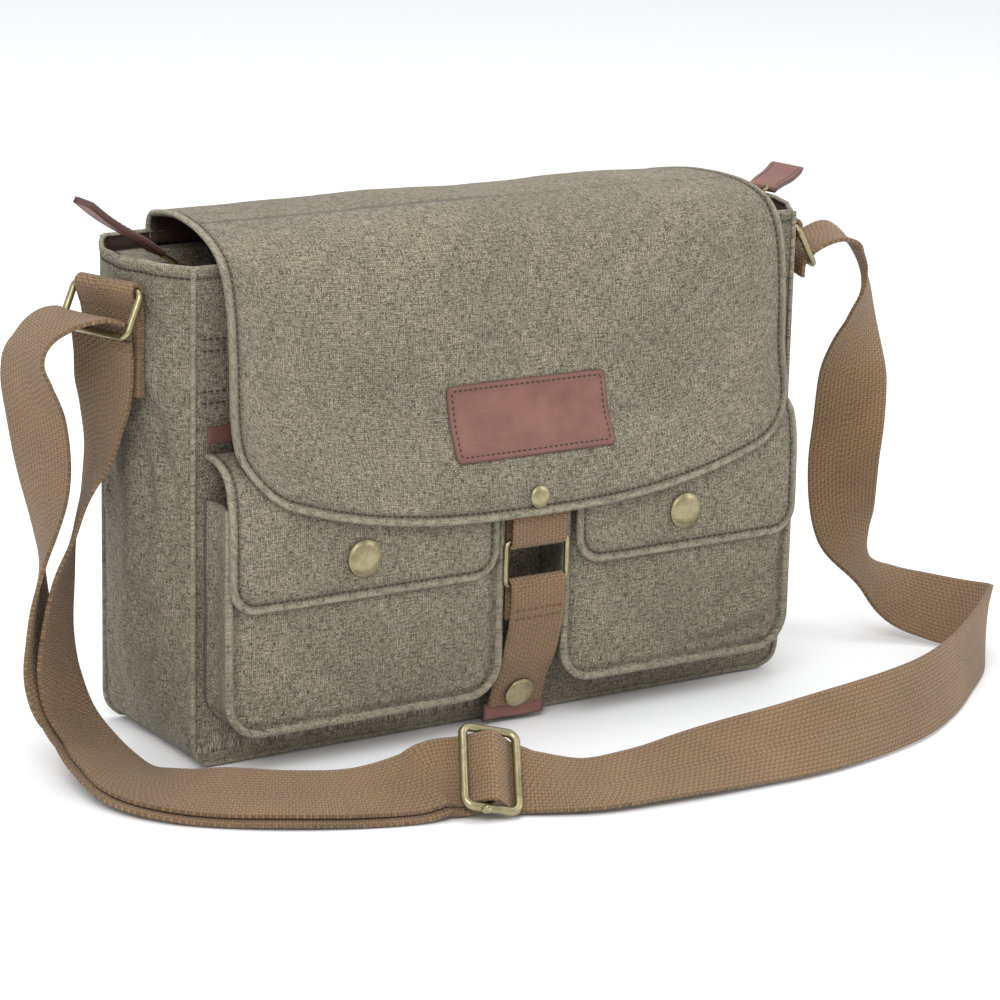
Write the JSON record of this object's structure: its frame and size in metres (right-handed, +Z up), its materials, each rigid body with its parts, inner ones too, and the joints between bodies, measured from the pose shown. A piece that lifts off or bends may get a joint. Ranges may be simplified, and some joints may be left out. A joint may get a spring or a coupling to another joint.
{
  "type": "messenger bag",
  "caption": "Canvas messenger bag with a fold-over flap, strap closure, two snap pockets, a zipped mouth and an adjustable webbing shoulder strap.",
  "frame": {"origin": "middle of the bottom panel's lower face, on the surface the bag stands on", "axes": "+Z up, -Y out of the bag's front, +X to the viewer's right when facing the front"},
  "size_m": [0.5362, 0.2452, 0.2668],
  "materials": {
    "canvas": "washed olive khaki cotton canvas, worn pale at the edges",
    "webbing": "brown cotton webbing, ribbed weave",
    "leather": "reddish brown leather, matt",
    "brass": "antique brass, aged, half gloss",
    "lining": "dark brown cotton lining",
    "zip_tape": "dark brown zip tape with brass teeth",
    "tag": "black woven tag, blank"
  },
  "bodies": {
    "root": {"front_panel": "canvas", "back_panel": "canvas", "left_gusset": "canvas", "right_gusset": "canvas", "bottom_panel": "canvas", "lining": "lining", "left_pocket": "canvas", "right_pocket": "canvas", "left_pocket_flap_top": "canvas", "right_pocket_flap_top": "canvas", "left_pocket_stud": "brass", "right_pocket_stud": "brass", "flap_rear_strip": "canvas", "closure_stud": "brass", "front_zip_tape": "zip_tape", "left_chape": "webbing", "right_chape": "webbing", "side_tag": "tag", "shoulder_strap": "webbing", "strap_return": "webbing", "strap_slider": "brass", "strap_slider_bar": "brass"},
    "flap_upper": {"flap_top": "canvas"},
    "flap_lower": {"flap_front": "canvas", "leather_patch": "leather", "flap_rivet": "brass", "flap_webbing_loop": "webbing"},
    "closure_ring": {"closure_ring": "brass"},
    "closure_strap": {"closure_strap": "webbing", "closure_snap_cap": "brass", "closure_socket": "brass", "closure_tab": "leather"},
    "left_pocket_flap": {"left_pocket_flap": "canvas", "left_snap_cap": "brass"},
    "right_pocket_flap": {"right_pocket_flap": "canvas", "right_snap_cap": "brass"},
    "zip_front": {"zip_facing_front": "canvas", "zip_tape_front": "zip_tape"},
    "zip_back": {"zip_facing_back": "canvas", "zip_tape_back": "zip_tape"},
    "left_zip_slider": {"left_zip_slider": "brass"},
    "right_zip_slider": {"right_zip_slider": "brass"},
    "left_pull": {"left_pull_link": "brass", "left_pull_leather": "leather"},
    "right_pull": {"right_pull_link": "brass", "right_pull_leather": "leather"},
    "front_zip_slider": {"front_zip_slider": "brass"},
    "front_zip_pull": {"front_zip_pull": "leather"},
    "left_strap_ring": {"left_strap_ring": "brass"},
    "right_strap_ring": {"right_strap_ring": "brass"}
  },
  "joints": [
    {"name": "flap_hinge", "type": "hinge", "parent": "root", "child": "flap_upper", "pos_m": [0, 0.04562, 0.24968], "axis": [-1, 0, 0], "range_deg": [0, 190]},
    {"name": "flap_fold", "type": "hinge", "parent": "flap_upper", "child": "flap_lower", "pos_m": [0, -0.04778, 0.24641], "axis": [-1, 0, 0], "range_deg": [0, 85]},
    {"name": "closure_ring_swing", "type": "hinge", "parent": "flap_lower", "child": "closure_ring", "pos_m": [0.003, -0.0722, 0.098], "axis": [-1, 0, 0], "range_deg": [0, 60]},
    {"name": "closure_strap_swing", "type": "hinge", "parent": "closure_ring", "child": "closure_strap", "pos_m": [0.003, -0.0722, 0.076], "axis": [-1, 0, 0], "range_deg": [0, 80]},
    {"name": "left_pocket_flap_hinge", "type": "hinge", "parent": "root", "child": "left_pocket_flap", "pos_m": [0, -0.07042, 0.1434], "axis": [-1, 0, 0], "range_deg": [0, 150]},
    {"name": "right_pocket_flap_hinge", "type": "hinge", "parent": "root", "child": "right_pocket_flap", "pos_m": [0, -0.07042, 0.1434], "axis": [-1, 0, 0], "range_deg": [0, 150]},
    {"name": "zip_front_fold", "type": "hinge", "parent": "root", "child": "zip_front", "pos_m": [0, -0.0408, 0.232], "axis": [1, 0, 0], "range_deg": [0, 70]},
    {"name": "zip_back_fold", "type": "hinge", "parent": "root", "child": "zip_back", "pos_m": [0, 0.0408, 0.232], "axis": [-1, 0, 0], "range_deg": [0, 70]},
    {"name": "left_zip_slide", "type": "slide", "parent": "root", "child": "left_zip_slider", "axis": [1, 0, 0], "range_m": [0, 0.15]},
    {"name": "right_zip_slide", "type": "slide", "parent": "root", "child": "right_zip_slider", "axis": [-1, 0, 0], "range_m": [0, 0.158]},
    {"name": "left_pull_swing", "type": "hinge", "parent": "left_zip_slider", "child": "left_pull", "pos_m": [-0.158, 0, 0.236], "axis": [0, 1, 0], "range_deg": [-10, 30]},
    {"name": "right_pull_swing", "type": "hinge", "parent": "right_zip_slider", "child": "right_pull", "pos_m": [0.17, 0, 0.236], "axis": [0, -1, 0], "range_deg": [0, 35]},
    {"name": "front_zip_slide", "type": "slide", "parent": "root", "child": "front_zip_slider", "axis": [1, 0, 0], "range_m": [0, 0.29]},
    {"name": "front_zip_pull_swing", "type": "hinge", "parent": "front_zip_slider", "child": "front_zip_pull", "pos_m": [-0.143, -0.0511, 0.164], "axis": [0, 0, 1], "range_deg": [0, 20]},
    {"name": "left_ring_swing", "type": "hinge", "parent": "root", "child": "left_strap_ring", "pos_m": [-0.194, -0.0073, 0.228], "axis": [-0.309, 0.9511, 0], "range_deg": [-4, 4]},
    {"name": "right_ring_swing", "type": "hinge", "parent": "root", "child": "right_strap_ring", "pos_m": [0.194, -0.0073, 0.228], "axis": [0.309, 0.9511, 0], "range_deg": [-4, 4]}
  ],
  "couplings": [
    {"joint": "flap_fold", "follows": "flap_hinge", "ratio": 0.44737},
    {"joint": "left_pocket_flap_hinge", "follows": "flap_hinge", "ratio": 0.78947},
    {"joint": "right_pocket_flap_hinge", "follows": "flap_hinge", "ratio": 0.78947},
    {"joint": "zip_front_fold", "follows": "flap_hinge", "ratio": 0.36842},
    {"joint": "zip_back_fold", "follows": "flap_hinge", "ratio": 0.36842},
    {"joint": "left_zip_slide", "follows": "flap_hinge", "m_per_rad": 0.045233},
    {"joint": "right_zip_slide", "follows": "flap_hinge", "m_per_rad": 0.047645}
  ]
}
